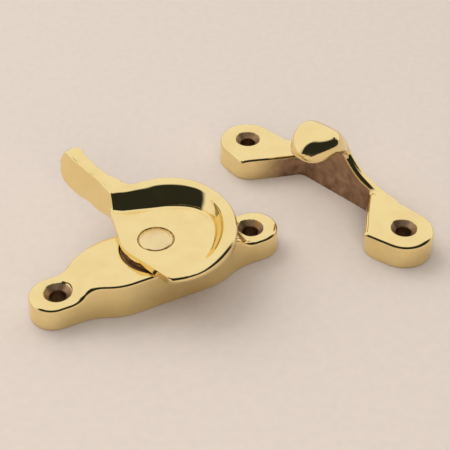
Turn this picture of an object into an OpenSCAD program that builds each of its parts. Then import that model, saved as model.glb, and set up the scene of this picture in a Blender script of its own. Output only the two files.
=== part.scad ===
// Window sash lock: a cast base with a swinging cam arm, and a loose hooked keeper beside it.
// Millimetres. X runs along the base, Y across it, Z up. The arm turns about the Z axis at X = Y = 0.

/* [Base] */
// Distance between the two screw holes of the base
base_hole_gap = 52; // [44:0.5:60]
// Distance between the centres of the two rounded ends
base_end_gap = 54.2; // [46:0.2:62]
// Half width of the base at its screw lugs
lug_half = 6.1; // [5:0.1:8]
// Half width of the base at its middle
mid_half = 9.3; // [8:0.1:12]
// Where the flat middle of each long side ends
mid_flat = 9.5; // [6:0.5:13]
// Where the long side has narrowed to the lug
side_end = 23; // [18:0.5:26]
// Height of the screw lugs
lug_h = 6.5; // [5:0.1:8]
// Height of the raised middle
deck_h = 10; // [8:0.1:12]
// Where the raised middle starts to fall away
deck_end = 17.3; // [15:0.1:21]
// Where the fall reaches the lug
ramp_end = 24.8; // [21:0.1:26]
// Radius of the round seat under the arm
seat_r = 9; // [8:0.1:11]
// Height of the seat's floor
seat_z = 9.4; // [8.6:0.1:9.8]
// Half length of the hollow under the base
pocket_x = 17; // [14:0.5:18]
// Half width of the hollow under the base
pocket_y = 7; // [6:0.1:7.5]
// Height of the hollow
pocket_z = 5.6; // [4:0.1:6.5]
// Radius of the stop peg under the arm
peg_r = 0.9; // [0.6:0.05:0.95]
// Height of the stop peg above the seat's floor
peg_h = 0.9; // [0.5:0.1:1]

/* [Screw holes] */
// Radius of the through holes
hole_r = 2; // [1.5:0.1:2.6]
// Radius of the countersink at the top
sink_r = 3.55; // [3:0.05:4.2]

/* [Arm] */
// Centre of the dish, along X
dish_x = 3.2; // [1:0.1:5]
// Centre of the dish, along Y
dish_y = -1.2; // [-3:0.1:0]
// Height of the dish floor
floor_z = 12.8; // [12:0.1:14]
// Height of the arm's underside
under_z = 10.4; // [10.2:0.1:11]
// Depth of the flat sink under the rivet's head
sink_depth = 0.5; // [0.3:0.1:1]
// Radius of the hub that turns in the seat
hub_r = 8; // [6:0.1:8.4]
// Lowest point of the hub
hub_z = 9.45; // [9.42:0.01:9.6]
// Width of the stop groove in the hub
groove_w = 2; // [1.6:0.1:2.4]
// Radius of the stop groove's middle line
groove_r = 6.2; // [5.5:0.1:6.5]
// Depth of the stop groove
groove_depth = 1; // [1:0.1:1.4]

/* [Pivot] */
// Radius of the rivet shank
shank_r = 2.5; // [2:0.1:3]
// Running clearance of the shank in the base
shank_gap = 0.05; // [0.01:0.01:0.1]
// Radius of the rivet head
head_r = 4.35; // [3.8:0.05:5]
// Height of the rivet head's middle
head_top = 13.45; // [13:0.05:14]
// Side of the square on the shank's lower end
tang = 3.4; // [3:0.1:3.5]
// Side of the steel detent square
square_side = 8.6; // [7:0.1:9]
// Thickness of the detent square
square_t = 1.6; // [1:0.1:2]
// Thickness of the thrust washer
washer_t = 0.5; // [0.3:0.1:0.8]
// Radius of the thrust washer
washer_r = 4.2; // [3.6:0.1:4.25]
// Radius of the hammered end of the shank
peen_r = 2.7; // [2.5:0.1:3]
// Thickness of the leaf spring
leaf_t = 0.5; // [0.3:0.05:0.8]
// Height of the leaf spring
leaf_h = 2.6; // [2:0.1:3]
// Length of the leaf spring
leaf_len = 31.2; // [28:0.2:33]
// Where the posts that hold the leaf spring stand
post_x = 14.4; // [12:0.1:15]
// Width of each post, along the base
post_w = 1.4; // [1:0.1:2]
// Thickness of each post, across the base
post_t = 1.1; // [0.8:0.1:1.2]

/* [Keeper] */
// Distance between the keeper's screw holes
keep_hole_gap = 54.5; // [46:0.1:60]
// Distance between the centres of the keeper's rounded ends
keep_end_gap = 54.6; // [46:0.1:60]
// Radius of the keeper's rounded ends
keep_end_r = 7.7; // [6.5:0.1:8.5]
// Height of the keeper's lugs
keep_lug_h = 7; // [5.5:0.1:8]
// Front face of the upright wall
wall_in = 5.3; // [4:0.1:6]
// Back face of the upright wall
wall_out = 7.7; // [7:0.1:8.5]
// Keeper centre, along X
keep_x = 51.6; // [48:0.1:60]
// Keeper centre, along Y
keep_y = 7.5; // [0:0.1:12]
// Turn of the keeper as it lies beside the base
keep_turn = -71.9; // [-90:0.1:0]

/* [Hidden] */
brass = [0.86, 0.70, 0.38];
steel = [0.62, 0.63, 0.65];
hole_x = base_hole_gap / 2;
end_x = base_end_gap / 2;
steel_gap = 0.05;
square_top = pocket_z - washer_t - steel_gap;
square_bot = square_top - square_t;
peen_h = 0.8;
leaf_y = -square_side / 2 - leaf_t - steel_gap;
leaf_z = pocket_z - leaf_h - 0.4;
head_round = 0.35;
head_gap = 0.1;
keep_hole_x = keep_hole_gap / 2;
keep_end_x = keep_end_gap / 2;
wall_half = 17;

// A smooth curve through a list of points: Catmull-Rom, n steps a span.
function spline(p, n) = let (m = len(p) - 1) concat(
    [for (i = [0 : m - 1]) let (a = p[max(i - 1, 0)], b = p[i], c = p[i + 1], d = p[min(i + 2, m)])
        for (k = [0 : n - 1]) let (t = k / n)
            0.5 * (2 * b + (c - a) * t + (2 * a - 5 * b + 4 * c - d) * t * t
                   + (3 * b - a - 3 * c + d) * t * t * t)],
    [p[m]]);

// A closed skin over sections that all have the same number of points.
module skin(rows) {
    m = len(rows);
    n = len(rows[0]);
    polyhedron(
        points = [for (r = rows) for (q = r) q],
        faces = concat(
            [for (i = [0 : m - 2]) for (j = [0 : n - 1]) let (k = (j + 1) % n)
                [i * n + j, i * n + k, (i + 1) * n + k]],
            [for (i = [0 : m - 2]) for (j = [0 : n - 1]) let (k = (j + 1) % n)
                [i * n + j, (i + 1) * n + k, (i + 1) * n + j]],
            [for (j = [1 : n - 2]) [0, j + 1, j]],
            [for (j = [1 : n - 2]) [(m - 1) * n, (m - 1) * n + j, (m - 1) * n + j + 1]]));
}

// ---- base ----

// An S-shaped curve of two equal arcs, from (x0, y0) down to (x1, y1), level at both ends.
function s_curve(x0, y0, x1, y1) = let (dx = x1 - x0, dy = y0 - y1,
    r = (dx * dx + dy * dy) / (4 * dy), turn = asin(dx / 2 / r)) concat(
        [for (k = [0 : 8]) let (t = turn * k / 8) [x0 + r * sin(t), y0 - r + r * cos(t)]],
        [for (k = [7 : -1 : 0]) let (t = turn * k / 8) [x1 - r * sin(t), y1 + r - r * cos(t)]]);
function mirrored(half) = concat(half, [for (i = [len(half) - 1 : -1 : 0]) [-half[i][0], half[i][1]]]);
function backwards(v) = [for (i = [len(v) - 1 : -1 : 0]) v[i]];

// The base seen from above, without its round ends.
module base_outline() {
    side = mirrored(backwards(concat(s_curve(mid_flat, mid_half, side_end, lug_half),
                                     [[end_x, lug_half]])));
    polygon(concat(side, [for (q = backwards(side)) [q[0], -q[1]]]));
}

// The base seen from the front: deck, S-shaped ramps and lugs.
module base_profile()
    polygon(mirrored(concat([[end_x + lug_half + 1, 0], [end_x + lug_half + 1, lug_h]],
                            backwards(s_curve(deck_end, deck_h, ramp_end, lug_h)))));

module screw_hole(x, top) {
    translate([x, 0, -1]) cylinder(h = top + 2, r = hole_r, $fn = 64);
    translate([x, 0, top - (sink_r - hole_r)])
        cylinder(h = sink_r - hole_r, r1 = hole_r, r2 = sink_r, $fn = 64);
    translate([x, 0, top - 0.005]) cylinder(h = 5, r = sink_r, $fn = 64);
}

module base_casting() color(brass) {
    difference() {
        intersection() {
            union() {
                linear_extrude(height = deck_h + 1) base_outline();
                for (s = [-1, 1]) translate([s * end_x, 0, 0])
                    cylinder(h = deck_h + 1, r = lug_half, $fn = 96);
            }
            rotate([90, 0, 0]) translate([0, 0, -15]) linear_extrude(height = 30) base_profile();
        }
        translate([0, 0, seat_z]) cylinder(h = 5, r = seat_r, $fn = 120);
        translate([-pocket_x, -pocket_y, -1]) cube([2 * pocket_x, 2 * pocket_y, pocket_z + 1]);
        translate([0, 0, 1]) cylinder(h = 12, r = shank_r + shank_gap, $fn = 64);
        for (s = [-1, 1]) screw_hole(s * hole_x, lug_h);
    }
    // Stop peg for the arm
    translate([-groove_r, 0, seat_z - 1]) cylinder(h = peg_h + 1, r = peg_r, $fn = 32);
    // Posts that hold the leaf spring's ends
    for (s = [-1, 1]) for (y = [leaf_y - post_t, leaf_y + leaf_t])
        translate([s * post_x - post_w / 2, y, leaf_z - 0.2])
            cube([post_w, post_t, pocket_z - leaf_z + 0.5]);
}

// ---- arm ----

// Shape of the dish by angle about its centre.
function rim_top(a) = lookup(a, [[-114, 13.0], [-90, 13.4], [-60, 14.2], [-30, 15.3], [0, 16.5],
    [30, 17.5], [60, 18.0], [90, 17.8]]);
function rim_in(a) = lookup(a, [[-114, 13.9], [-90, 13.0], [-60, 12.5], [-30, 12.9], [0, 13.8],
    [30, 14.8], [60, 15.4], [90, 15.6]]);
function rim_out(a) = lookup(a, [[-114, 15.0], [-60, 15.4], [-30, 16.4], [0, 17.2], [30, 17.8],
    [60, 18.3], [90, 18.5]]);
function rim_foot(a) = lookup(a, [[-114, 13.6], [-90, 11.2], [-60, 9.9], [-30, 9.9], [0, 11.3],
    [30, 11.9], [60, 11.1], [90, 11.8]]);
function polar(r, a, z) = [dish_x + r * cos(a), dish_y + r * sin(a), z];

// Eight points of one section: A foot, B crest, C outer top, D outer bottom.
function ring(a, b, c, d) = let (lift = [0, 0, 0.45]) [
    a - [0, 0, 0.3], a, (a + b) / 2, b, (b + c) / 2 + lift, c, (c + d) / 2, d];

rim_rows = [for (a = [-114, -102, -90, -75, -60, -45, -30, -15, 0, 15, 30, 45, 60, 75, 88])
    ring(polar(rim_foot(a), a, floor_z), polar(rim_in(a), a, rim_top(a)),
         polar(rim_out(a), a, rim_top(a) - 0.5), polar(rim_out(a) - 0.5, a, under_z + 0.02))];
tab_rows = [
    ring([-0.8, 11.9, floor_z], [1.3, 14.4, 17.7], [1.7, 17.4, 17.3], [0.6, 16.6, 10.6]),
    ring([-3.3, 12.5, floor_z], [-1.1, 15.0, 17.5], [1.0, 17.9, 17.1], [-0.6, 17.0, 10.7]),
    ring([-5.6, 13.3, 12.5], [-3.1, 16.4, 17.6], [0.0, 18.8, 17.2], [-1.8, 17.6, 11.0]),
    ring([-6.8, 16.3, 11.5], [-4.4, 18.3, 18.2], [-0.9, 19.9, 17.8], [-3.3, 18.6, 11.4]),
    ring([-8.4, 21.0, 11.1], [-5.7, 20.6, 19.0], [-2.3, 22.0, 18.6], [-4.8, 22.3, 11.4]),
    ring([-10.4, 25.3, 11.2], [-6.9, 23.6, 19.8], [-3.4, 24.9, 19.4], [-6.6, 26.2, 11.7]),
    ring([-11.9, 28.9, 12.0], [-8.0, 26.7, 20.5], [-4.3, 27.9, 20.1], [-8.1, 29.6, 12.6]),
    ring([-12.5, 31.4, 13.3], [-9.1, 29.4, 21.2], [-5.1, 30.5, 20.9], [-8.6, 31.8, 13.8]),
    ring([-12.1, 33.1, 15.2], [-9.8, 31.8, 21.6], [-5.8, 32.7, 21.2], [-8.4, 33.5, 15.6]),
    ring([-11.1, 34.2, 17.5], [-10.2, 33.6, 21.1], [-7.1, 34.2, 20.7], [-8.4, 34.4, 17.7])];

module dish_outline() {
    polygon(concat(
        [for (a = [-112 : 4 : 92]) [dish_x + (rim_out(a) - 0.9) * cos(a),
                                    dish_y + (rim_out(a) - 0.9) * sin(a)]],
        [[-2.6, 14.4], [-6.0, 14.0], [-6.9, 9], [-7.6, 4.8], [-8.2, 2.3], [-8.1, -0.6], [-7.3, -2.8],
         [-6.4, -4.9], [-3.0, -14.6]]));
}

module cam_arm() color(brass) difference() {
    union() {
        translate([0, 0, under_z]) linear_extrude(height = floor_z - under_z) dish_outline();
        translate([0, 0, hub_z]) cylinder(h = 2, r = hub_r, $fn = 96);
        skin(spline(backwards(concat(rim_rows, tab_rows)), 3));
    }
    translate([0, 0, hub_z - 1]) cylinder(h = 5, r = shank_r, $fn = 64);
    translate([0, 0, floor_z - sink_depth]) cylinder(h = 6, r = head_r + head_gap, $fn = 96);
    // Groove for the stop peg, half a turn long
    intersection() {
        translate([0, 0, hub_z - 1]) difference() {
            cylinder(h = groove_depth + 1, r = groove_r + groove_w / 2, $fn = 96);
            translate([0, 0, -1]) cylinder(h = 4, r = groove_r - groove_w / 2, $fn = 96);
        }
        translate([-20, -20, 0]) cube([20 + groove_w / 2, 40, 20]);
    }
}

// ---- pivot ----

module pivot_rivet() color(brass) {
    head_z = floor_z - sink_depth;
    edge_z = floor_z + 0.25;
    rotate_extrude($fn = 96) polygon(concat(
        [[0, square_top], [shank_r - 0.01, square_top], [shank_r - 0.01, head_z],
         [head_r, head_z], [head_r, floor_z + 0.1]],
        [for (t = [0 : 15 : 90]) [(head_r - head_round * sin(t)) * cos(t),
                                  edge_z + (head_top - edge_z) * sin(t)]]));
    translate([-tang / 2, -tang / 2, square_bot - peen_h / 2])
        cube([tang, tang, square_t + peen_h]);
    translate([0, 0, square_bot - peen_h]) cylinder(h = peen_h, r1 = peen_r - 0.8, r2 = peen_r, $fn = 48);
}

module thrust_washer() color(steel) difference() {
    translate([0, 0, square_top]) cylinder(h = washer_t, r = washer_r, $fn = 72);
    translate([0, 0, square_top - 1]) cylinder(h = 3, r = shank_r, $fn = 64);
}

module detent_square() color(steel) difference() {
    translate([-square_side / 2, -square_side / 2, square_bot])
        cube([square_side, square_side, square_t]);
    translate([-tang / 2, -tang / 2, square_bot - 1]) cube([tang, tang, square_t + 2]);
}

module leaf_spring() color(steel)
    translate([-leaf_len / 2, leaf_y, leaf_z]) cube([leaf_len, leaf_t, leaf_h]);

// ---- keeper ----

module keeper_lug() {
    linear_extrude(height = keep_lug_h) {
        translate([keep_end_x, 0]) circle(r = keep_end_r, $fn = 120);
        polygon([[11, wall_out], [keep_end_x, wall_out], [keep_end_x, -keep_end_r],
                 [21.6, -8.8], [20.8, -8.5], [18.2, -4.4], [14.2, 1.2], [12.4, 3.6], [11, wall_in]]);
    }
}

// Height of the upright wall's top edge along the keeper.
function ridge(x) = lookup(abs(x), [[0, 17.4], [1.5, 16.2], [3.5, 13.9], [5.5, 12.0], [8, 10.2],
    [11, 8.9], [14, 7.9], [18, 7.0]]);
function chamfer(x) = lookup(abs(x), [[0, 1.3], [8, 1.2], [14, 0.7], [18, 0.3]]);
function wall_row(x) = let (z = ridge(x), e = chamfer(x)) [
    [x, wall_in, 0], [x, wall_in, z - e], [x, wall_in + 0.4, z - 0.45 * e], [x, wall_in + 0.9, z - 0.05],
    [x, (wall_in + wall_out) / 2 + 0.7, z], [x, wall_out, z - 0.6], [x, wall_out, 0]];

// One section of the hooked nose, standing across Y.
function nose_row(y, w, top, bot) = [for (t = [0 : 22.5 : 337.5]) let (c = cos(t), s = sin(t))
    [w * sign(c) * pow(abs(c), 0.75), y,
     (top + bot) / 2 + (top - bot) / 2 * sign(s) * pow(abs(s), 0.75)]];
nose_rows = [
    nose_row(7.5, 2.0, 16.8, 13.2), nose_row(6.0, 3.1, 19.0, 13.8), nose_row(4.0, 4.4, 21.4, 15.6),
    nose_row(2.0, 5.5, 23.4, 17.7), nose_row(0.0, 6.1, 24.5, 19.2), nose_row(-2.0, 6.4, 24.8, 19.8),
    nose_row(-4.0, 6.5, 24.5, 19.4), nose_row(-6.0, 6.0, 23.6, 18.5), nose_row(-7.6, 5.1, 22.4, 18.0),
    nose_row(-8.8, 3.9, 21.2, 18.3), nose_row(-9.7, 2.0, 20.2, 18.8)];

module keeper_casting() color(brass)
    translate([keep_x, keep_y, 0]) rotate([0, 0, keep_turn]) difference() {
        union() {
            keeper_lug();
            mirror([1, 0, 0]) keeper_lug();
            skin([for (x = [-wall_half : 1 : wall_half]) wall_row(x)]);
            skin(spline(backwards(nose_rows), 2));
        }
        for (s = [-1, 1]) screw_hole(s * keep_hole_x, keep_lug_h);
    }

base_casting();
cam_arm();
pivot_rivet();
thrust_washer();
detent_square();
leaf_spring();
keeper_casting();
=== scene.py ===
"""Window sash lock in polished cast brass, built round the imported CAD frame.

The three castings and the rivet are smooth solids: each is a function that is negative inside the metal,
and skin_of() turns it into a mesh. Lengths inside those functions are millimetres in the row frame.
"""
import math

import bpy
import numpy as np
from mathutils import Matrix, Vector


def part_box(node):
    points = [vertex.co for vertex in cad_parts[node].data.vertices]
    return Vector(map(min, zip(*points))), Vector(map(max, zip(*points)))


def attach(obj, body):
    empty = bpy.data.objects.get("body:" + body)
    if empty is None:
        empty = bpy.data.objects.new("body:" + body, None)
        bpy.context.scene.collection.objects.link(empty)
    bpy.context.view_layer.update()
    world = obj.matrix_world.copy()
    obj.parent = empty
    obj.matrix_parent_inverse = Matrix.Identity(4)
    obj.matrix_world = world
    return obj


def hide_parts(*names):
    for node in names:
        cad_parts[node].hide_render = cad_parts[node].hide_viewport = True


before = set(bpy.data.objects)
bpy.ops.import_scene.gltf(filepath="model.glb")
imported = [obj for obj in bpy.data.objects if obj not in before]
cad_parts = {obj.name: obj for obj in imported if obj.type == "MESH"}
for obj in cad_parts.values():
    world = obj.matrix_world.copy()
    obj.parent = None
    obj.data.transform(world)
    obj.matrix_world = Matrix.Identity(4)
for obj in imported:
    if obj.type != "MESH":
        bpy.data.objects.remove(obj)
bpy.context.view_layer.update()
MM = 0.001


# ---------------------------------------------------------------- curves and blends

def spline(knots, values):
    """A natural cubic spline through the points, held at its end values outside them."""
    k, v = np.asarray(knots, float), np.asarray(values, float)
    h = np.diff(k)
    n = len(k)
    m = np.eye(n)
    rhs = np.zeros(n)
    for i in range(1, n - 1):
        m[i, i - 1:i + 2] = h[i - 1], 2 * (h[i - 1] + h[i]), h[i]
        rhs[i] = 6 * ((v[i + 1] - v[i]) / h[i] - (v[i] - v[i - 1]) / h[i - 1])
    c = np.linalg.solve(m, rhs)

    def at(x):
        x = np.clip(x, k[0], k[-1])
        i = np.clip(np.searchsorted(k, x) - 1, 0, n - 2)
        a, b = k[i + 1] - x, x - k[i]
        return (c[i] * a ** 3 + c[i + 1] * b ** 3) / (6 * h[i]) \
            + (v[i] / h[i] - c[i] * h[i] / 6) * a + (v[i + 1] / h[i] - c[i + 1] * h[i] / 6) * b
    return at


def both(a, b, r):
    """Where two solids meet, with the outer edge between them rounded by about r."""
    t = np.maximum(r - np.abs(a - b), 0)
    return np.maximum(a, b) + t * t / (4 * r)


def either(a, b, r):
    """Two solids joined, with a fillet of about r."""
    return -both(-a, -b, r)


def cut(a, b, r):
    """Solid a with solid b taken out, its edge rounded by about r."""
    return both(a, -b, r)


def s_curve(x, x0, y0, x1, y1):
    """Two equal arcs from (x0, y0) down to (x1, y1), level at both ends and beyond them."""
    dx, dy = x1 - x0, y0 - y1
    r = (dx * dx + dy * dy) / (4 * dy)
    t = np.clip(x, x0, x1)
    high = y0 - r + np.sqrt(np.maximum(r * r - (t - x0) ** 2, 0))
    low = y1 + r - np.sqrt(np.maximum(r * r - (x1 - t) ** 2, 0))
    return np.where(t < (x0 + x1) / 2, high, low)


# ---------------------------------------------------------------- meshes from solids

def gradient(field, p):
    """The field's slope at each point, from the values a small step to either side."""
    e = 0.01
    g = np.empty_like(p)
    for k in range(3):
        d = np.zeros(3)
        d[k] = e
        a, b = p + d, p - d
        g[:, k] = field(a[:, 0], a[:, 1], a[:, 2]) - field(b[:, 0], b[:, 1], b[:, 2])
    return g / (2 * e)


def grid_values(field, axes):
    """The field on the grid, one slab of X at a time to keep memory small."""
    out = np.empty([len(a) for a in axes], np.float32)
    y, z = np.meshgrid(axes[1], axes[2], indexing="ij")
    for i, x in enumerate(axes[0]):
        out[i] = field(np.full_like(y, x), y, z)
    return out


def skin_of(field, low, high, step, name):
    """A closed mesh of the field's zero surface: one vertex in each grid cell that the surface crosses."""
    axes = [np.arange(a - 2 * step, b + 3 * step, step) for a, b in zip(low, high)]
    v = grid_values(field, axes)
    inside = v < 0
    shape = tuple(s - 1 for s in v.shape)
    total = np.zeros(shape + (3,), np.float32)
    count = np.zeros(shape, np.int32)
    for axis in range(3):
        lo = [slice(None)] * 3
        hi = [slice(None)] * 3
        lo[axis], hi[axis] = slice(0, -1), slice(1, None)
        a, b = v[tuple(lo)], v[tuple(hi)]
        hit = (a < 0) != (b < 0)
        t = np.where(hit, a / np.where(hit, a - b, 1), 0)
        others = [k for k in range(3) if k != axis]
        for o0 in (0, 1):
            for o1 in (0, 1):
                pick = [slice(None)] * 3
                for k, o in zip(others, (o0, o1)):
                    pick[k] = slice(o, v.shape[k] - 1 + o)
                h = hit[tuple(pick)]
                count += h
                corner = np.zeros(3)
                corner[others[0]], corner[others[1]] = o0, o1
                for k in range(3):
                    total[..., k] += h * (t[tuple(pick)] if k == axis else corner[k])
    used = count > 0
    number = np.full(shape, -1)
    number[used] = np.arange(used.sum())
    cell = np.argwhere(used)
    points = (cell + total[used] / count[used][:, None]) * step + [a[0] for a in axes]
    quads = []
    for axis in range(3):
        lo = [slice(None)] * 3
        hi = [slice(None)] * 3
        lo[axis], hi[axis] = slice(0, -1), slice(1, None)
        a, b = inside[tuple(lo)], inside[tuple(hi)]
        u, w = [(1, 2), (2, 0), (0, 1)][axis]
        for way, hit in ((False, a & ~b), (True, ~a & b)):
            e = np.argwhere(hit)
            e = e[(e[:, u] > 0) & (e[:, w] > 0)]
            ring = []
            for du, dw in ((-1, -1), (0, -1), (0, 0), (-1, 0)):
                q = e.copy()
                q[:, u] += du
                q[:, w] += dw
                ring.append(number[q[:, 0], q[:, 1], q[:, 2]])
            quads.append(np.stack(ring[::-1] if way else ring, 1))
    faces = np.concatenate(quads)
    points, normals = settle(field, points.astype(float), step)
    return mesh_of(points * MM, faces, normals, name)


def settle(field, points, step):
    """Moves points onto the surface, and gives the surface's own normals there."""
    start = points.copy()
    for _ in range(4):
        g = gradient(field, points)
        size = np.maximum((g * g).sum(1), 0.05)
        move = field(points[:, 0], points[:, 1], points[:, 2]) / size
        points = points - np.clip(move, -step / 2, step / 2)[:, None] * g
    far = np.linalg.norm(points - start, axis=1) > 1.5 * step
    points[far] = start[far]
    g = gradient(field, points)
    return points, g / np.maximum(np.linalg.norm(g, axis=1), 1e-9)[:, None]


def mesh_of(points, faces, normals, name):
    mesh = bpy.data.meshes.new(name)
    mesh.vertices.add(len(points))
    mesh.vertices.foreach_set("co", points.astype(np.float32).ravel())
    mesh.loops.add(faces.size)
    mesh.loops.foreach_set("vertex_index", faces.astype(np.int32).ravel())
    mesh.polygons.add(len(faces))
    mesh.polygons.foreach_set("loop_start", np.arange(0, faces.size, 4, dtype=np.int32))
    mesh.update(calc_edges=True)
    mesh.validate()
    mesh.shade_smooth()
    mesh.normals_split_custom_set_from_vertices(normals.astype(np.float32))
    obj = bpy.data.objects.new(name, mesh)
    bpy.context.scene.collection.objects.link(obj)
    return obj


def paint(obj, name, value):
    """Stores one number per vertex for the material, such as how raw the casting is there."""
    layer = obj.data.attributes.new(name, "FLOAT", "POINT")
    layer.data.foreach_set("value", np.asarray(value, np.float32))


def places(obj):
    """Every vertex of the piece, in millimetres."""
    co = np.empty(len(obj.data.vertices) * 3)
    obj.data.vertices.foreach_get("co", co)
    return co.reshape(-1, 3) / MM


# ---------------------------------------------------------------- shapes shared with the CAD

# Base: screw holes, outline, profile, seat for the arm, hollow underneath
HOLE_X, HOLE_R, SINK_R = 26.0, 2.0, 3.55
END_X, LUG_HALF, MID_HALF, MID_FLAT, SIDE_END = 27.1, 6.1, 9.3, 9.5, 23.0
LUG_H, DECK_H, DECK_END, RAMP_END = 6.5, 10.0, 17.3, 24.8
SEAT_R, SEAT_Z = 9.0, 9.4
POCKET_X, POCKET_Y, POCKET_Z = 17.0, 7.0, 5.6
# Stop peg on the seat, and the groove in the arm's hub that it runs in
PEG_R, PEG_Z, PEG_HALF = 0.9, -0.05, 0.95
GROOVE_R, GROOVE_HALF, GROOVE_TOP = 6.2, 1.0, 10.45
# Posts on both sides of the leaf spring's ends
POST_X, POST_HALF_X = 14.4, 0.7
LEAF_Y, POST_OFF, POST_HALF_Y = -4.6, 0.81, 0.54
POST_Z, POST_HALF_Z = 4.15, 1.75
# Arm: dish, hub, the floor's slight rise towards the wall, the lever's rounded tip
DISH_X, DISH_Y, FLOOR_Z, UNDER_Z = 3.2, -1.2, 12.8, 10.4
HUB_R, HUB_Z, HUB_HALF = 8.0, 9.45, 1
SINK_DEPTH = 0.5
FLOOR_FLAT, FLOOR_RISE = 6.0, 0.007
TIP_AT, TIP_Z, TIP_R = 30.4, 16.6, 5.6
# Rivet, from its shank up to its head and down to its peened end
SHANK_R, SHANK_GAP, HEAD_R = 2.5, 0.05, 4.35
PEEN_R = 2.7
RIVET_TOP, RIVET_SQUARE_TOP, RIVET_SQUARE_LOW, RIVET_END, TANG_HALF = 13.45, 5.05, 3.45, 2.65, 1.7
# Keeper: where it lies, lugs, wall and nose
KEEP_X, KEEP_Y, KEEP_TURN = 51.6, 7.5, math.radians(-71.9)
KEEP_HOLE_X, KEEP_END_X, KEEP_END_R, KEEP_LUG_H = 27.25, 27.3, 7.7, 7.0
WALL_IN, WALL_OUT = 5.3, 7.7
FRONT_LEAN = math.radians(10.8)
NOSE_Y0, NOSE_HALF, NOSE_REACH = -1.8, 6.5, 8.3


def screw_hole(x, y, z, top):
    """A countersunk hole about the Z axis, open above and below."""
    r = np.hypot(x, y)
    cone = (r - HOLE_R - np.maximum(z - (top - (SINK_R - HOLE_R)), -9)) / math.sqrt(2)
    return either(r - HOLE_R, np.where(z > top, r - SINK_R, cone), 0.1)


# ---------------------------------------------------------------- base

def base_field(x, y, z):
    """Deck, ramps and lugs, less the seat, the hollow and the holes, with the peg and the posts."""
    ax, ay = np.abs(x), np.abs(y)
    side = np.where(ax < END_X, ay - s_curve(ax, MID_FLAT, MID_HALF, SIDE_END, LUG_HALF),
                    np.hypot(ax - END_X, ay) - LUG_HALF)
    side = side + 0.025 * z
    ramp = s_curve(ax, DECK_END, DECK_H, RAMP_END, LUG_H)
    steep = 1 + 0.45 * np.exp(-((ax - (DECK_END + RAMP_END) / 2) / 1.6) ** 2)
    top = (z - ramp) / steep
    solid = both(both(side, top, 1.3), -z, 0.4)
    seat = both(np.hypot(x, y) - SEAT_R, SEAT_Z - z, 0.2)
    solid = cut(solid, seat, 0.3)
    hollow = both(both(ax - POCKET_X, ay - POCKET_Y + 0.02 * z, 1.6), z - POCKET_Z, 0.8)
    solid = cut(solid, hollow, 0.35)
    peg = both(np.hypot(x + GROOVE_R, y) - PEG_R, np.abs(z - SEAT_Z - PEG_Z) - PEG_HALF, 0.15)
    solid = either(solid, peg, 0.1)
    post = both(np.abs(ax - POST_X) - POST_HALF_X, np.abs(np.abs(y - LEAF_Y) - POST_OFF) - POST_HALF_Y, 0.1)
    solid = either(solid, both(post, np.abs(z - POST_Z) - POST_HALF_Z, 0.1), 0.1)
    solid = cut(solid, np.hypot(x, y) - SHANK_R - SHANK_GAP - 0.02, 0.2)
    return cut(solid, screw_hole(ax - HOLE_X, y, z, LUG_H), 0.28)


# ---------------------------------------------------------------- arm

# The rim by angle about the dish's centre, in degrees; then the dish's cut-off left edge, X by Y.
TURN = [-130, -114, -90, -60, -30, 0, 30, 60, 90]
rim_top = spline(TURN, [12.9, 13.0, 13.4, 14.2, 15.3, 16.5, 17.5, 18.0, 17.8])
rim_in = spline(TURN, [14.6, 14.0, 13.0, 12.4, 12.9, 13.8, 14.8, 15.4, 15.6])
rim_foot = spline(TURN, [14.2, 13.6, 11.2, 9.9, 9.9, 11.3, 11.9, 11.1, 11.8])
rim_out = spline(TURN, [15.0, 15.0, 15.1, 15.4, 16.4, 17.2, 17.8, 18.3, 18.5])
left_edge = spline([-17, -14.7, -9.4, -4.9, -0.8, 2.3, 4.9, 9.0, 12.9, 17.0],
                   [-2.1, -2.95, -4.8, -6.5, -8.0, -8.2, -7.75, -6.95, -6.3, -6.0])


def rim_row(degrees):
    """Foot, crest, outer top edge and outer bottom edge of the rim at an angle about the dish's centre."""
    a = math.radians(degrees)
    top = float(rim_top(degrees))
    out = float(rim_out(degrees))
    spots = ((float(rim_foot(degrees)), FLOOR_Z), (float(rim_in(degrees)), top),
             (out, top - 0.4), (out - 0.4, UNDER_Z))
    return [(DISH_X + r * math.cos(a), DISH_Y + r * math.sin(a), z) for r, z in spots]


# The wall of the dish turns outwards into the thumb lever; the same four edges run on along it.
LEVER = [
    [(-0.8, 11.9, 12.8), (1.3, 14.4, 17.7), (1.7, 17.4, 17.3), (0.6, 16.6, 10.6)],
    [(-3.3, 12.5, 12.8), (-1.1, 15.0, 17.5), (1.0, 17.9, 17.1), (-0.6, 17.0, 10.7)],
    [(-5.6, 13.3, 12.5), (-3.1, 16.4, 17.6), (0.0, 18.8, 17.2), (-1.8, 17.6, 11.0)],
    [(-6.8, 16.3, 11.5), (-4.4, 18.3, 18.2), (-0.9, 19.9, 17.8), (-3.3, 18.6, 11.4)],
    [(-8.4, 21.0, 11.1), (-5.7, 20.6, 19.0), (-2.3, 22.0, 18.6), (-4.8, 22.3, 11.4)],
    [(-10.4, 25.3, 11.2), (-6.9, 23.6, 19.8), (-3.4, 24.9, 19.4), (-6.6, 26.2, 11.7)],
    [(-11.9, 28.9, 12.0), (-8.0, 26.7, 20.5), (-4.3, 27.9, 20.1), (-8.1, 29.6, 12.6)],
    [(-12.5, 31.4, 13.3), (-9.1, 29.4, 21.2), (-5.1, 30.5, 20.9), (-8.6, 31.8, 13.8)],
    [(-12.1, 33.1, 15.2), (-9.8, 31.8, 21.6), (-5.8, 32.7, 21.2), (-8.4, 33.5, 15.6)],
    [(-11.1, 34.2, 17.5), (-10.2, 33.6, 21.1), (-7.1, 34.2, 20.7), (-8.4, 34.4, 17.7)],
]
WALL = np.array([rim_row(a) for a in range(-128, 84, 15)] + LEVER)
wall_n = np.arange(len(WALL))
wall_mid = [spline(wall_n, WALL[:, :, k].mean(1)) for k in (0, 1)]
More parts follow.
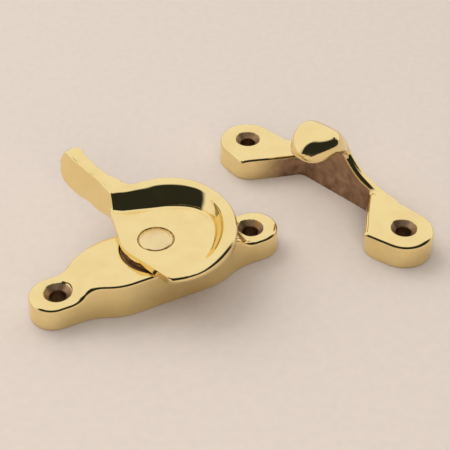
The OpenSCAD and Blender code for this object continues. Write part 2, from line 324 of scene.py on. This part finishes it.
wall_edge = [[spline(wall_n, WALL[:, e, k]) for k in range(3)] for e in range(4)]
track_t = np.linspace(0, len(WALL) - 1, 120)
track = np.stack([m(track_t) for m in wall_mid], 1)


def along_wall(x, y):
    """How far along the wall's middle line each point lies, the line's place and direction there,
    and how far the point is ahead of it, which is 0 except past the line's two ends."""
    flat = np.stack([x.ravel(), y.ravel()], 1)
    t = np.empty(len(flat))
    for i in range(0, len(flat), 40000):
        block = flat[i:i + 40000]
        gap = ((block[:, None, :] - track[None, :, :]) ** 2).sum(2)
        t[i:i + 40000] = track_t[gap.argmin(1)]
    e = 0.02
    for _ in range(4):
        m, before, after = ([f(t + d) for f in wall_mid] for d in (0, -e, e))
        v = [(after[k] - before[k]) / (2 * e) for k in (0, 1)]
        bend = [(after[k] - 2 * m[k] + before[k]) / (e * e) for k in (0, 1)]
        off = [flat[:, k] - m[k] for k in (0, 1)]
        slope = off[0] * v[0] + off[1] * v[1]
        curve = v[0] ** 2 + v[1] ** 2 - off[0] * bend[0] - off[1] * bend[1]
        t = np.clip(t + np.clip(slope / np.maximum(curve, 2.0), -0.5, 0.5), 0.5, len(WALL) - 1.5)
    m = [f(t) for f in wall_mid]
    v = [(wall_mid[k](t + e) - wall_mid[k](t - e)) / (2 * e) for k in (0, 1)]
    size = np.hypot(*v)
    v = [c / size for c in v]
    off = [flat[:, k] - m[k] for k in (0, 1)]
    ahead = off[0] * v[0] + off[1] * v[1]
    return (a.reshape(x.shape) for a in (t, m[0], m[1], v[0], v[1], ahead))


def wall_section(x, y, z):
    """The rim and lever, as a four-sided section with rounded corners that changes along the wall."""
    t, mx, my, vx, vy, ahead = along_wall(x, y)
    q = (x - mx) * vy - (y - my) * vx
    spots = []
    for e in range(4):
        ex, ey, ez = (f(t) for f in wall_edge[e])
        spots.append(((ex - mx) * vy - (ey - my) * vx, ez))
    faces = []
    for k in range(4):
        (q0, z0), (q1, z1) = spots[k], spots[(k + 1) % 4]
        length = np.hypot(q1 - q0, z1 - z0)
        faces.append(((q - q0) * (z0 - z1) + (z - z0) * (q1 - q0)) / length)
    (q0, z0), (q1, z1) = spots[0], spots[1]
    up = np.clip((z - z0) / np.maximum(z1 - z0, 0.5), 0, 1)
    hollow = 1.5 * up * (1 - up) * np.clip((11.5 - t) / 3, 0, 1)
    blade = both(both(faces[0] + hollow, faces[1] - 0.1, 0.9), both(faces[2], faces[3], 0.8), 1.6)
    blade = both(blade, np.abs(ahead) - 1.7, 1.7)
    reach = np.maximum(y * 0.939 - x * 0.344 - TIP_AT, 0)
    return both(blade, np.hypot(reach, z - TIP_Z) - TIP_R, 0.8)


def plane(spot, across, up):
    """The flat face through a spot along two directions, negative on the side away from the camera."""
    n = np.cross(across, up)
    n = n / np.linalg.norm(n)
    n = n if n[1] < 0 else -n
    return lambda x, y, z: (x - spot[0]) * n[0] + (y - spot[1]) * n[1] + (z - spot[2]) * n[2]


# Where the dish's wall meets the lever's thumb face they run on to a crisp edge.
foot = [np.array(row[0]) for row in LEVER]
crest = [np.array(row[1]) for row in LEVER]
wall_face = plane(foot[1], foot[1] - foot[0], crest[1] - foot[1])
thumb_face = plane(foot[3], foot[4] - foot[3], crest[4] - foot[4])


def corner_field(x, y, z):
    """Metal behind both faces' planes, which fades out upwards, backwards and along the lever."""
    edge = both(wall_face(x, y, z), thumb_face(x, y, z), 0.25)
    lid = z - 17.65 + 0.1 * ((x + 3.1) * 0.79 + (y - 16.4) * 0.61) - 0.25 * np.maximum(y - 16.4, 0)
    back = 0.4 * ((x - 0.2) * 0.77 + (y - 17.4) * 0.64)
    stop = both(both(lid, back, 0.8), 0.35 * (y - 20.5), 0.8)
    return both(both(edge, stop, 0.8), UNDER_Z + 0.7 - z, 0.5)


def arm_field(x, y, z):
    """Dish floor, rim and lever on a round hub, less the stop groove, the rivet's seat and its bore."""
    dx, dy = x - DISH_X, y - DISH_Y
    r = np.hypot(dx, dy)
    a = np.degrees(np.arctan2(dy, dx))
    a = np.where(a < -130, a + 360, a)
    outer = rim_out(np.clip(a, -130, 90))
    bowl = FLOOR_Z + FLOOR_RISE * np.clip(y / 6, 0, 1) * np.maximum(r - FLOOR_FLAT, 0) ** 2
    plate = both(both(z - bowl, UNDER_Z - z, 0.4), r - outer + 0.7, 0.6)
    chord = (left_edge(y) - x) * 0.94
    plate = both(both(plate, y - 14.5, 0.5), chord, 0.45)
    wall = either(wall_section(x, y, z), corner_field(x, y, z), 0.9)
    wall = np.where(y < 0, both(wall, chord, 0.45), wall)
    solid = either(plate, wall, 0.35)
    radius = np.hypot(x, y)
    hub = both(radius - HUB_R, np.abs(z - (HUB_Z + HUB_HALF)) - HUB_HALF, 0.1)
    solid = either(solid, hub, 0.1)
    groove = both(both(np.abs(radius - GROOVE_R) - GROOVE_HALF, x - GROOVE_HALF, 0.1), z - GROOVE_TOP, 0.1)
    solid = cut(solid, groove, 0.1)
    sink = both(radius - HEAD_R - 0.12, FLOOR_Z - SINK_DEPTH - z, 0.1)
    solid = cut(solid, sink, 0.25)
    return cut(solid, radius - SHANK_R - 0.01, 0.1)


# ---------------------------------------------------------------- keeper

# The lug's inner edge, X by Y; the wall's top edge and its bevel by X; the nose by Y.
lug_inner = spline([-9.5, -8.5, -4.4, 1.2, 3.6, 5.3, 8.0], [21.3, 20.9, 18.2, 14.2, 12.6, 11.4, 9.5])
ridge_at, ridge_z = [1.5, 3.5, 5.5, 8, 11, 14, 18, 30], [16.2, 13.9, 12.0, 10.2, 8.9, 7.9, 7.0, 7.0]
ridge = spline([-v for v in ridge_at[::-1]] + [0] + ridge_at, ridge_z[::-1] + [17.2] + ridge_z)
chamfer = spline([0, 8, 14, 18, 30], [1.3, 1.2, 0.7, 0.3, 0.3])
NOSE_Y = [-9.9, -9.5, -8.8, -7.6, -6.0, -4.0, -2.0, 0.0, 2.0, 4.0, 6.0, 7.6]
nose_half = spline([-2.4, -1.8, 0.0, 2.0, 4.0, 6.0, 7.6], [6.5, 6.5, 6.2, 5.5, 4.4, 3.1, 2.0])
nose_top = spline(NOSE_Y, [20.0, 20.7, 21.7, 22.9, 24.1, 24.9, 25.1, 24.6, 23.4, 21.4, 19.0, 17.0])
nose_low = spline(NOSE_Y, [19.3, 18.9, 18.3, 18.0, 18.5, 19.4, 19.8, 19.2, 17.7, 15.6, 13.8, 12.8])


def keep_local(x, y):
    """Row frame to the keeper's own frame: X along it, Y towards its back."""
    dx, dy = x - KEEP_X, y - KEEP_Y
    c, s = math.cos(KEEP_TURN), math.sin(KEEP_TURN)
    return c * dx + s * dy, c * dy - s * dx


def lug_field(ax, y, z):
    """One lug and, by symmetry, the other: a round end, a straight back and a front that leans in."""
    out = ax - KEEP_END_X
    c, s = math.cos(FRONT_LEAN), math.sin(FRONT_LEAN)
    beyond = np.where(y < 0, out * c + y * s, out) > 0
    straight = np.maximum(y - WALL_OUT, out * s - y * c - KEEP_END_R)
    side = np.where(beyond, np.hypot(out, y) - KEEP_END_R, straight)
    corner = 0.8 + 0.55 * np.clip(KEEP_LUG_H - 1 - z, 0, 6)
    side = both(side, (lug_inner(y) - ax) * 0.8, corner)
    solid = both(side + 0.02 * z, z - KEEP_LUG_H, 1.5)
    return both(solid, -z, 0.4)


def wall_field(x, ax, y, z):
    """The upright wall, under the ridge line, with a bevel along its front edge."""
    top, e = ridge(x), chamfer(ax)
    slope = np.clip((ridge(x + 0.2) - ridge(x - 0.2)) / 0.4, -1.5, 1.5)
    steep = np.sqrt(1 + slope * slope)
    solid = both(y - WALL_OUT, (z - top) / steep, 1.1)
    bevel = (0.9 * (z - top + e) / steep - e * (y - WALL_IN)) / np.hypot(e, 0.9)
    solid = both(solid, bevel, 0.3)
    solid = both(solid, WALL_IN - y, 0.12)
    solid = both(solid, -z, 0.3)
    return both(solid, ax - 19, 0.3)


def nose_field(x, y, z):
    """The hooked nose: a crowned cap, rounded in plan, that thins down into the wall behind it."""
    ax, top = np.abs(x), nose_top(y)
    ahead = np.maximum(NOSE_Y0 - y, 0)
    # One front corner is cut back: the rim of the arm sweeps in from that side.
    power = np.where(x > 0, 1.5, 2.3)
    front = ((ax / NOSE_HALF) ** power + (ahead / NOSE_REACH) ** power + 1e-9) ** (1 / power) - 1
    plan = np.where(y < NOSE_Y0, front * NOSE_HALF, (ax - nose_half(y)) * 0.92)
    crown = (z - top + 0.02 * x * x) * 0.93
    inset = 0.9 + np.clip((x + 2) / 4, 0, 1)
    bevel = 0.866 * (plan + inset) + 0.5 * (z - top)
    cap = both(both(crown, bevel, 1.0), plan, 1.2)
    return both(both(cap, nose_low(y) - z, 1.6), y - 7.7, 0.6)


def keeper_field(x, y, z):
    """Wall, nose and lugs in one casting, with its two screw holes."""
    kx, ky = keep_local(x, y)
    ax = np.abs(kx)
    body = either(wall_field(kx, ax, ky, z), nose_field(kx, ky, z), 1.2)
    body = either(body, lug_field(ax, ky, z), 1.0)
    return cut(body, screw_hole(ax - KEEP_HOLE_X, ky, z, KEEP_LUG_H), 0.28)


# ---------------------------------------------------------------- materials

def nodes_of(name):
    mat = bpy.data.materials.new(name)
    mat.use_nodes = True
    tree = mat.node_tree
    return mat, tree, tree.nodes["Principled BSDF"]


def add(tree, kind, **values):
    node = tree.nodes.new(kind)
    for key, value in values.items():
        setattr(node, key, value)
    return node


def noise(tree, where, scale, detail):
    n = add(tree, "ShaderNodeTexNoise")
    n.inputs["Scale"].default_value = scale
    n.inputs["Detail"].default_value = detail
    tree.links.new(where, n.inputs["Vector"])
    return n


def ramp(tree, source, stops):
    r = add(tree, "ShaderNodeValToRGB")
    while len(r.color_ramp.elements) < len(stops):
        r.color_ramp.elements.new(0.5)
    for e, (at, colour) in zip(r.color_ramp.elements, stops):
        e.position = at
        e.color = (*colour, 1)
    tree.links.new(source, r.inputs["Fac"])
    return r


def grey(v):
    return (v, v, v)


def mix_colour(tree, factor, a, b):
    m = add(tree, "ShaderNodeMix", data_type="RGBA")
    tree.links.new(factor, m.inputs["Factor"])
    for value, socket in ((a, m.inputs[6]), (b, m.inputs[7])):
        if isinstance(value, tuple):
            socket.default_value = (*value, 1)
        else:
            tree.links.new(value, socket)
    return m.outputs[2]


def mix_number(tree, factor, a, b):
    m = add(tree, "ShaderNodeMix", data_type="FLOAT")
    tree.links.new(factor, m.inputs["Factor"])
    for value, socket in ((a, m.inputs[2]), (b, m.inputs[3])):
        if isinstance(value, float):
            socket.default_value = value
        else:
            tree.links.new(value, socket)
    return m.outputs[0]


def brass(name, colour, shadow, rough, raw_share=True, polish_lines=0.02):
    """Polished brass with faint tarnish clouds and hairline polishing marks; raw where painted raw."""
    mat, tree, shader = nodes_of(name)
    where = add(tree, "ShaderNodeTexCoord").outputs["Object"]
    clouds = noise(tree, where, 160, 4)
    hairs = noise(tree, where, 2600, 2)
    pits = noise(tree, where, 1500, 6)
    tint = ramp(tree, clouds.outputs["Fac"], [(0.30, shadow), (0.62, colour)]).outputs["Color"]
    gloss = ramp(tree, clouds.outputs["Fac"], [(0.3, grey(rough * 1.5)), (0.65, grey(rough * 0.8))])
    shader.inputs["Metallic"].default_value = 1.0
    height = hairs.outputs["Fac"]
    bump = add(tree, "ShaderNodeBump")
    bump.inputs["Distance"].default_value = 0.0001
    if raw_share:
        raw = add(tree, "ShaderNodeAttribute", attribute_name="raw").outputs["Fac"]
        skin_tone = noise(tree, where, 380, 5)
        grain = ramp(tree, skin_tone.outputs["Fac"],
                     [(0.30, (0.24, 0.135, 0.075)), (0.70, (0.46, 0.30, 0.185))])
        tree.links.new(mix_colour(tree, raw, tint, grain.outputs["Color"]), shader.inputs["Base Color"])
        tree.links.new(mix_number(tree, raw, gloss.outputs["Color"], 0.46), shader.inputs["Roughness"])
        tree.links.new(mix_number(tree, raw, height, pits.outputs["Fac"]), bump.inputs["Height"])
        tree.links.new(mix_number(tree, raw, polish_lines, 0.3), bump.inputs["Strength"])
    else:
        tree.links.new(tint, shader.inputs["Base Color"])
        tree.links.new(gloss.outputs["Color"], shader.inputs["Roughness"])
        tree.links.new(height, bump.inputs["Height"])
        bump.inputs["Strength"].default_value = polish_lines
    tree.links.new(bump.outputs["Normal"], shader.inputs["Normal"])
    return mat


def steel(name):
    """Rolled steel strip: long faint streaks and a slightly uneven gloss."""
    mat, tree, shader = nodes_of(name)
    where = add(tree, "ShaderNodeTexCoord").outputs["Object"]
    stretch = add(tree, "ShaderNodeMapping")
    stretch.inputs["Scale"].default_value = (1, 14, 14)
    tree.links.new(where, stretch.inputs["Vector"])
    streaks = noise(tree, stretch.outputs["Vector"], 300, 5)
    tone = ramp(tree, streaks.outputs["Fac"], [(0.3, (0.30, 0.29, 0.28)), (0.7, (0.52, 0.51, 0.50))])
    gloss = ramp(tree, streaks.outputs["Fac"], [(0.3, grey(0.42)), (0.7, grey(0.26))])
    shader.inputs["Metallic"].default_value = 1.0
    tree.links.new(tone.outputs["Color"], shader.inputs["Base Color"])
    tree.links.new(gloss.outputs["Color"], shader.inputs["Roughness"])
    bump = add(tree, "ShaderNodeBump")
    bump.inputs["Strength"].default_value = 0.15
    bump.inputs["Distance"].default_value = 0.00005
    tree.links.new(streaks.outputs["Fac"], bump.inputs["Height"])
    tree.links.new(bump.outputs["Normal"], shader.inputs["Normal"])
    return mat


def paper(name, colour):
    """Matt card with a faint fibre mottle."""
    mat, tree, shader = nodes_of(name)
    where = add(tree, "ShaderNodeTexCoord").outputs["Object"]
    fibre = noise(tree, where, 420, 5)
    low = tuple(0.97 * c for c in colour)
    tree.links.new(ramp(tree, fibre.outputs["Fac"], [(0.35, low), (0.65, colour)]).outputs["Color"],
                   shader.inputs["Base Color"])
    shader.inputs["Roughness"].default_value = 0.85
    shader.inputs["Specular IOR Level"].default_value = 0.15
    return mat


# ---------------------------------------------------------------- pieces

# Grid spacing of the meshes; the rivet is small, so it gets a finer one.
STEP = 0.3
RIVET_STEP = STEP * 0.7


def use(obj, mat):
    obj.data.materials.clear()
    obj.data.materials.append(mat)


def make_base(mat):
    obj = skin_of(base_field, (-33.3, -9.4, 0), (33.3, 9.4, 10.2), STEP, "base_body")
    x, y, z = places(obj).T
    ax = np.abs(x)
    r = np.hypot(ax - HOLE_X, y)
    in_hole = (r < SINK_R + 0.05) & (z < LUG_H - 0.25)
    under = (z < POCKET_Z + 0.1) & (ax < POCKET_X + 0.1) & (np.abs(y) < POCKET_Y + 0.1)
    seat = (np.hypot(x, y) < SEAT_R + 0.1) & (z < DECK_H - 0.15) & (z > 8)
    paint(obj, "raw", np.maximum.reduce([0.9 * in_hole, 1.0 * under, 1.0 * seat, 1.0 * (z < 0.05)]))
    use(obj, mat)
    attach(obj, "fastener_base")
    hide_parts("base_casting")


def make_arm(mat):
    obj = skin_of(arm_field, (-13.4, -17.2, HUB_Z), (21.9, 36.6, 22.2), STEP, "cam_body")
    x, y, z = places(obj).T
    hub = (np.hypot(x, y) < HUB_R + 0.1) & (z < UNDER_Z + 0.1)
    bore = np.hypot(x, y) < HEAD_R + 0.2
    paint(obj, "raw", np.maximum(0.9 * hub, 0.5 * (bore & (z < FLOOR_Z - 0.1))))
    use(obj, mat)
    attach(obj, "cam")
    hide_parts("cam_arm")


def make_keeper(mat):
    low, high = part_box("keeper_casting")
    low, high = low / MM, high / MM
    obj = skin_of(keeper_field, tuple(low), (high[0], high[1], high[2] + 2), STEP, "keeper_body")
    x, y, z = places(obj).T
    kx, ky = keep_local(x, y)
    ax = np.abs(kx)
    in_hole = (np.hypot(ax - KEEP_HOLE_X, ky) < SINK_R + 0.05) & (z < KEEP_LUG_H - 0.25)
    limit = np.where(ky > WALL_IN - 1.2, ridge(kx) - chamfer(ax) - 0.1, KEEP_LUG_H - 0.7)
    bay = np.clip((lug_inner(ky) + 0.6 - ax) / 0.3, 0, 1) * np.clip((WALL_IN + 0.25 - ky) / 0.1, 0, 1)
    bay *= np.clip((limit - z) / 0.5, 0, 1) * np.clip((ky + 6) / 7, 0, 1)
    paint(obj, "raw", np.maximum.reduce([0.9 * in_hole, bay, 1.0 * (z < 0.05)]))
    use(obj, mat)
    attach(obj, "keeper")
    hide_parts("keeper_casting")


def rivet_field(x, y, z):
    """A shank with a low hammered dome for a head, seated in the arm, and a riveted lower end."""
    r = np.hypot(x, y)
    dome = z - RIVET_TOP + 0.036 * r * r
    ring = 0.10 * np.exp(-((r - HEAD_R + 0.75) / 0.22) ** 2)
    head = both(both(r - HEAD_R, dome + ring, 0.9), FLOOR_Z - SINK_DEPTH - z, 0.1)
    shank = both(r - SHANK_R + 0.01, np.maximum(z - FLOOR_Z, RIVET_SQUARE_TOP - z), 0.1)
    ends = np.maximum(z - RIVET_SQUARE_TOP - 0.3, RIVET_END - z)
    tang = both(both(np.abs(x), np.abs(y), 0.1) - TANG_HALF, ends, 0.1)
    cone = r - PEEN_R + 0.9 * (RIVET_SQUARE_LOW - z)
    peen = both(both(cone, RIVET_END - z, 0.5), z - RIVET_SQUARE_LOW, 0.05)
    return np.minimum(np.minimum(head, shank), np.minimum(tang, peen))


def make_rivet(mat):
    low, high = (-HEAD_R, -HEAD_R, RIVET_END), (HEAD_R, HEAD_R, RIVET_TOP)
    obj = skin_of(rivet_field, low, high, RIVET_STEP, "rivet_body")
    use(obj, mat)
    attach(obj, "cam")
    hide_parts("pivot_rivet")


# ---------------------------------------------------------------- stage

def aim(obj, target):
    obj.rotation_euler = (Vector(target) - obj.location).to_track_quat("-Z", "Y").to_euler()


def softbox(name, place, target, size, watts, colour):
    """A soft light that the brass does not mirror, so that it leaves no hard bright patch."""
    light = bpy.data.lights.new(name, "AREA")
    light.shape = "RECTANGLE"
    light.size, light.size_y = size
    light.energy = watts
    light.color = colour
    obj = bpy.data.objects.new(name, light)
    bpy.context.scene.collection.objects.link(obj)
    obj.location = place
    aim(obj, target)
    obj.visible_glossy = False


def make_floor():
    mesh = bpy.data.meshes.new("floor")
    s = 1.6
    mesh.from_pydata([(-s, -s, 0), (s, -s, 0), (s, s, 0), (-s, s, 0)], [], [(0, 1, 2, 3)])
    floor = bpy.data.objects.new("floor", mesh)
    bpy.context.scene.collection.objects.link(floor)
    use(floor, paper("paper", (0.66, 0.585, 0.535)))


def make_world():
    """A bright room with one dark side, where the photographer stands, but not dark overhead."""
    world = bpy.data.worlds.new("studio")
    bpy.context.scene.world = world
    world.use_nodes = True
    tree = world.node_tree
    back = tree.nodes["Background"]
    way = add(tree, "ShaderNodeTexCoord").outputs["Generated"]
    dot = add(tree, "ShaderNodeVectorMath", operation="DOT_PRODUCT")
    dot.inputs[1].default_value = Vector((-0.12, -0.985, 0.08)).normalized()
    tree.links.new(way, dot.inputs[0])
    axes = add(tree, "ShaderNodeSeparateXYZ")
    tree.links.new(way, axes.inputs["Vector"])
    front = ramp(tree, dot.outputs["Value"], [(0.03, grey(0.0)), (0.20, grey(1.0))])
    below = ramp(tree, axes.outputs["Z"], [(0.72, grey(1.0)), (0.88, grey(0.0))])
    dark = add(tree, "ShaderNodeMath", operation="MULTIPLY")
    tree.links.new(front.outputs["Color"], dark.inputs[0])
    tree.links.new(below.outputs["Color"], dark.inputs[1])
    shade = mix_colour(tree, dark.outputs["Value"], (0.98, 0.96, 0.92), (0.025, 0.028, 0.025))
    tree.links.new(shade, back.inputs["Color"])
    back.inputs["Strength"].default_value = 0.95


def make_camera():
    """The photograph's view: 40 degrees down, from 27 degrees left of the base's front."""
    cam = bpy.data.cameras.new("camera")
    cam.sensor_width = 36
    cam.lens = 94.1
    cam.clip_start = 0.01
    obj = bpy.data.objects.new("camera", cam)
    bpy.context.scene.collection.objects.link(obj)
    target = Vector((0.0242, 0.0105, 0))
    far, up, round_ = 0.308, math.radians(40), math.radians(-27.3)
    obj.location = target + far * Vector((math.cos(up) * math.sin(round_),
                                          -math.cos(up) * math.cos(round_), math.sin(up)))
    aim(obj, target)
    bpy.context.scene.camera = obj


polished = brass("polished_brass", (0.93, 0.75, 0.37), (0.90, 0.70, 0.33), 0.07)
peened = brass("peened_brass", (0.90, 0.73, 0.40), (0.80, 0.60, 0.32), 0.20, False, 0.5)
plain_steel = steel("spring_steel")

make_base(polished)
make_arm(polished)
make_keeper(polished)
make_rivet(peened)
for node in ("thrust_washer", "detent_square", "leaf_spring"):
    use(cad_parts[node], plain_steel)

make_floor()
make_world()
make_camera()
softbox("back_light", (-0.25, 0.75, 0.75), (0.02, 0, 0), (1.0, 0.8), 6.0, (1.0, 0.98, 0.94))
softbox("front_fill", (-0.35, -0.80, 0.60), (0.02, 0, 0), (0.8, 0.6), 5.0, (1.0, 0.93, 0.84))

view = bpy.context.scene.view_settings
view.view_transform = "Standard"
